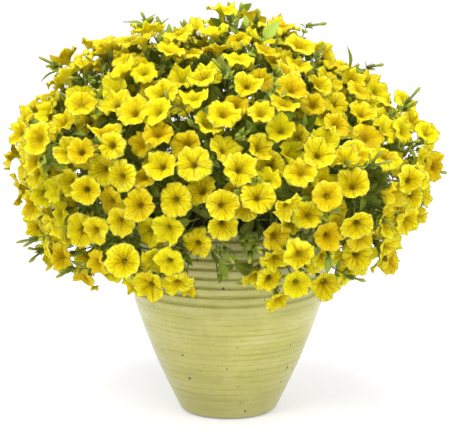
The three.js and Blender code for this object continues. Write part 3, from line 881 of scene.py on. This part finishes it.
def filler_leaf(greens, outer):
    """One leaf, if there is room for it: near the skin, or a larger one deep in the plant."""
    direction = any_way(-0.5 if outer else rng.choice([-0.5, 0.1]))
    skin, lowest = shell(direction)
    depth = rng.uniform(0.74, 0.98) if outer else rng.uniform(0.45, 0.84)
    root = HEART + direction * skin * depth
    heading = unit(direction * (0.9 if outer else 0.5) + random_vector(0.6))
    length = rng.uniform(0.019, 0.034) if outer else rng.uniform(0.032, 0.05)
    tip = root + heading * length
    if inside_pot(root) or inside_pot(tip) or tip[2] < lowest + 0.004 or in_front_of_bloom(tip, LEAF_CLEAR):
        return False
    normal = unit(np.cross(heading, np.cross(direction, heading)) + random_vector(0.3))
    # Painted shade: leaves deeper in the plant are darker, the inner ones most
    tone = rng.betavariate(2, 2.2) + (0.5 * (depth - 0.85) if outer else -0.25)
    width = length * rng.uniform(0.42, 0.58)
    blade(greens, root, tip, normal, width, min(max(tone, 0), 1), 0.08, **({} if outer else SMALL))
    stalk_root = root - unit(heading + direction) * rng.uniform(0.012, 0.028)
    tube(greens, [stalk_root, root + heading * 0.002], (0.0011, 0.0008), rng.random(), STALK_SIDES)
    return True


def sprig(petals, greens):
    """A thin shoot that stands out from the blooms, with small leaves in pairs and one or two long buds."""
    direction = any_way(-0.42)
    skin, lowest = shell(direction)
    out = unit(direction * [1, 1, 0.6] + np.array([0, 0, 0.12]) + random_vector(0.35))
    root = HEART + direction * skin * 0.86
    end = root + out * rng.uniform(0.032, 0.066)
    if in_front_of_bloom(end, SPRIG_CLEAR) or inside_pot(root) or end[2] < lowest or outside_box(end):
        return False
    bow = (root + end) / 2 + random_vector(0.004)
    tube(greens, smooth_path([root, bow, end]), (0.0013, 0.0008), rng.random(), NECK_SIDES)
    u, v = basis(out)
    turn = rng.uniform(0, 3.14)
    for share in (0.4, 0.58, 0.76, 0.93):
        at = root + (bow - root) * min(2 * share, 1) + (end - bow) * max(2 * share - 1, 0)
        turn += 1.57 + rng.uniform(-0.3, 0.3)
        for sign in (-1, 1):
            way = unit(between(u, v, turn) * sign + out * rng.uniform(0.3, 0.9))
            length = rng.uniform(0.011, 0.018) * (1.15 - 0.45 * share)
            normal = unit(out - way * out.dot(way) + random_vector(0.2))
            tone = 0.15 + 0.55 * rng.random()
            blade(greens, at, at + way * length, normal, length * 0.52, tone, 0.12, **SMALL)
    for _ in range(rng.choice([1, 2, 2])):
        tip = end + unit(out + random_vector(0.3)) * rng.uniform(0.022, 0.036)
        if not in_front_of_bloom(tip, SPRIG_BUD_CLEAR) and not outside_box(tip):
            bud(petals, greens, end, tip, rng.random())
    return True


def repeat(wanted, grow, *what):
    """Tries until so many have found room."""
    made = 0
    while made < wanted:
        made += grow(*what)


petals = Gather()
for i in range(2):
    greens = Gather()
    for name in stems[i::2]:
        grow_stem(name, petals, greens)
    finish_piece(greens, f"leafy_stems_{i + 1}", green_looks, stems[i::2])
for i, (is_outer, wanted) in enumerate(
    [(True, OUTER_LEAVES // 2), (True, OUTER_LEAVES // 2), (False, INNER_LEAVES)]
):
    greens = Gather()
    repeat(wanted, filler_leaf, greens, is_outer)
    finish_piece(greens, f"small_leaves_{i + 1}", green_looks)
greens = Gather()
repeat(SPRIGS, sprig, petals, greens)
finish_piece(greens, "sprigs", green_looks)
finish_piece(petals, "buds", petal_looks)

# Pot: the frame's outline, turned smoothly, with rounded ribs and fine throwing rings. A profile's rows are
# radius, height and how deep in a groove they lie, for the glaze.

POT_SIDES = 120
WALL_FROM, WALL_TO, WALL_STEP = 0.006, 0.3145, 0.0014
WALL_TOP, SMOOTH_BY = 0.318, 0.012  # the wall's last height, and the reach of its smoothing up and down
PLAIN_TO, RIBS_FROM, RIBS_TO, RIB_PITCH, RIB_DEPTH = 0.2, 0.202, 0.3, 0.015, 0.0027
COARSE_FROM, COARSE_OVER = 0.175, 0.03  # the heights over which ribs take over from the fine rings
RING_PITCH, RING_DEPTH = 0.0096, 0.0007
FOOT_ROUND, FOOT_ROUND_TO = 0.0022, 0.016
FOOT_ROWS = ((0.0005, 0.0, 0.0), (0.0685, 0.0, 0.0), (0.0727, 0.0008, 0.0), (0.0752, 0.003, 0.2))
RIM_ROWS = (
    (0.1668, 0.3165, 0.0), (0.1655, 0.3192, 0.0), (0.162, 0.3203, 0.0),
    (0.1585, 0.3195, 0.0), (0.1562, 0.317, 0.0),
)
INSIDE_ROWS = (
    (0.1545, 0.31, 0.2), (0.1535, 0.297, 0.4), (0.150, 0.26, 0.3), (0.14, 0.19, 0.2), (0.105, 0.1, 0.2),
    (0.069, 0.0142, 0.2), (0.0005, 0.0142, 0.2),
)

pot_points, _ = skin_of("pot")
widest = {}
for r, z in zip(np.hypot(pot_points[:, 0], pot_points[:, 1]), pot_points[:, 2]):
    widest[round(z, 4)] = max(widest.get(round(z, 4), 0), r)
levels = np.array(sorted(widest))
radii = np.array([widest[z] for z in levels])
is_outside = [True] * len(levels)
for i in range(1, len(levels) - 1):
    is_outside[i] = radii[i] > np.interp(levels[i], levels[[i - 1, i + 1]], radii[[i - 1, i + 1]]) - 0.006
levels, radii = levels[is_outside], radii[is_outside]
on_ribs = np.abs((levels - RIBS_FROM) / RIB_PITCH % 1 - 0.5) < 0.2
kept = (levels < PLAIN_TO) | (levels > RIBS_TO) | on_ribs
levels, radii = levels[kept], radii[kept]


def smooth_wall(z):
    """The outside of the wall without its grooves: a smooth curve through the frame's levels."""
    heights = [min(max(z + d, WALL_FROM), WALL_TOP) for d in np.linspace(-SMOOTH_BY, SMOOTH_BY, 9)]
    return np.mean(np.interp(heights, levels, radii))


def pot():
    profile = list(FOOT_ROWS)
    for z in np.arange(WALL_FROM, WALL_TO, WALL_STEP):
        r = smooth_wall(z) - FOOT_ROUND * max(1 - (z - 0.003) / FOOT_ROUND_TO, 0) ** 2
        coarse = np.clip((z - COARSE_FROM) / COARSE_OVER, 0, 1)
        rib = (0.5 + 0.5 * cos(tau * ((z - RIBS_FROM) / RIB_PITCH))) ** 4
        ring = (0.5 + 0.5 * cos(tau * (z / RING_PITCH + 0.35 * sin(47 * z)))) ** 4
        ring *= 0.82 + 0.18 * sin(173 * z)
        groove = coarse * rib**0.4 + 0.62 * (1 - coarse) * ring**0.6 * min(1, (z - 0.005) / 0.03)
        r -= RIB_DEPTH * coarse * rib + RING_DEPTH * (1 - coarse) * ring
        profile.append((r, z, groove))
    profile += [*RIM_ROWS, *INSIDE_ROWS]
    points, uvs, tones = [], [], []
    for i, (r, z, groove) in enumerate(profile):
        for k in range(POT_SIDES):
            a = tau * k / POT_SIDES
            wobble = 1 + 0.0016 * sin(2 * a + 9 * z) + 0.0009 * sin(5 * a + 31 * z)
            points.append((r * wobble * cos(a), r * wobble * sin(a), z))
            uvs.append((k / POT_SIDES, i / len(profile)))
            tones.append(groove * (0.85 + 0.15 * sin(3 * a + 40 * z)))
    gather = Gather()
    gather.add(points, barrel(len(profile), POT_SIDES), uvs, np.array(tones))
    return gather


finish_piece(pot(), "glazed_pot", [glaze_material()], ["pot"])

# Soil: a domed, crumbly top on a body that fills the pot

SOIL_RINGS, SOIL_SIDES, SOIL_RADIUS = 26, 96, 0.1525
SOIL_TOP, SOIL_DOME, CRUMBS = 0.3035, 0.0075, 0.0009
SOIL_FOOT_RADIUS, SOIL_FOOT = 0.067, 0.0148


def soil():
    points = []
    for i in range(SOIL_RINGS + 1):
        r = SOIL_RADIUS * i / SOIL_RINGS
        z = SOIL_TOP - SOIL_DOME * (i / SOIL_RINGS) ** 2
        for k in range(SOIL_SIDES):
            a = tau * k / SOIL_SIDES
            lump = 0.0016 * sin(61 * r * cos(a) * 3 + 2) * cos(57 * r * sin(a) * 3)
            lump += rng.gauss(0, CRUMBS) if 0 < i < SOIL_RINGS else 0
            points.append((max(r, 0.0004) * cos(a), max(r, 0.0004) * sin(a), z + lump))
    for k in range(SOIL_SIDES):
        a = tau * k / SOIL_SIDES
        points.append((SOIL_FOOT_RADIUS * cos(a), SOIL_FOOT_RADIUS * sin(a), SOIL_FOOT))
    gather = Gather()
    gather.add(points, barrel(SOIL_RINGS + 2, SOIL_SIDES, inward=True), None, 0.5)
    return gather


finish_piece(soil(), "potting_soil", [soil_material()], ["soil"])

# Floor, lights and camera

bpy.ops.mesh.primitive_plane_add(size=30, location=(0, 0, -0.0004))
floor = bpy.context.object
floor.name = "floor"
floor.data.materials.append(
    Look("floor_white").shade(
        Base_Color=(0.62, 0.62, 0.66), Roughness=0.8, Emission_Color=(1, 1, 1), Emission_Strength=0.42
    )
)

world = bpy.data.worlds.new("studio")
bpy.context.scene.world = world
world.use_nodes = True
world.node_tree.nodes["Background"].inputs[0].default_value = (1, 1, 1, 1)
world.node_tree.nodes["Background"].inputs[1].default_value = 0.95


def area_light(name, place, size, power):
    """A square light that faces the middle of the plant and pot."""
    light = bpy.data.lights.new(name, "AREA")
    light.energy = power
    light.size = size
    lamp = bpy.data.objects.new(name, light)
    bpy.context.scene.collection.objects.link(lamp)
    lamp.location = place
    aim = Vector((0, 0, 0.35)) - Vector(place)
    lamp.rotation_euler = aim.to_track_quat("-Z", "Y").to_euler()


area_light("key", (-1.4, -2.5, 2.7), 1.2, 58)
area_light("fill", (2.2, -2.0, 1.4), 2.0, 27)
area_light("top", (0.0, -0.2, 3.0), 1.6, 55)

DISTANCE, EYE_HEIGHT, FOCAL_PIXELS, SENSOR = 4.0, 1.17, 2606, 36
WIDTH, HEIGHT = 460, 435
AXIS_COLUMN, FOOT_ROW = 228.5, 406.4  # where the middle of the pot's foot stands in the picture
camera = bpy.data.cameras.new("camera")
eye = bpy.data.objects.new("camera", camera)
bpy.context.scene.collection.objects.link(eye)
camera.sensor_fit = "HORIZONTAL"
camera.sensor_width = SENSOR
camera.lens = SENSOR * FOCAL_PIXELS / WIDTH
camera.shift_x = (WIDTH / 2 - AXIS_COLUMN) / WIDTH
down = math.atan2(EYE_HEIGHT, DISTANCE) - math.atan2(FOOT_ROW - HEIGHT / 2, FOCAL_PIXELS)
eye.location = (0, -DISTANCE, EYE_HEIGHT)
eye.rotation_euler = (pi / 2 - down, 0, 0)
bpy.context.scene.camera = eye
bpy.context.scene.view_settings.view_transform = "Standard"
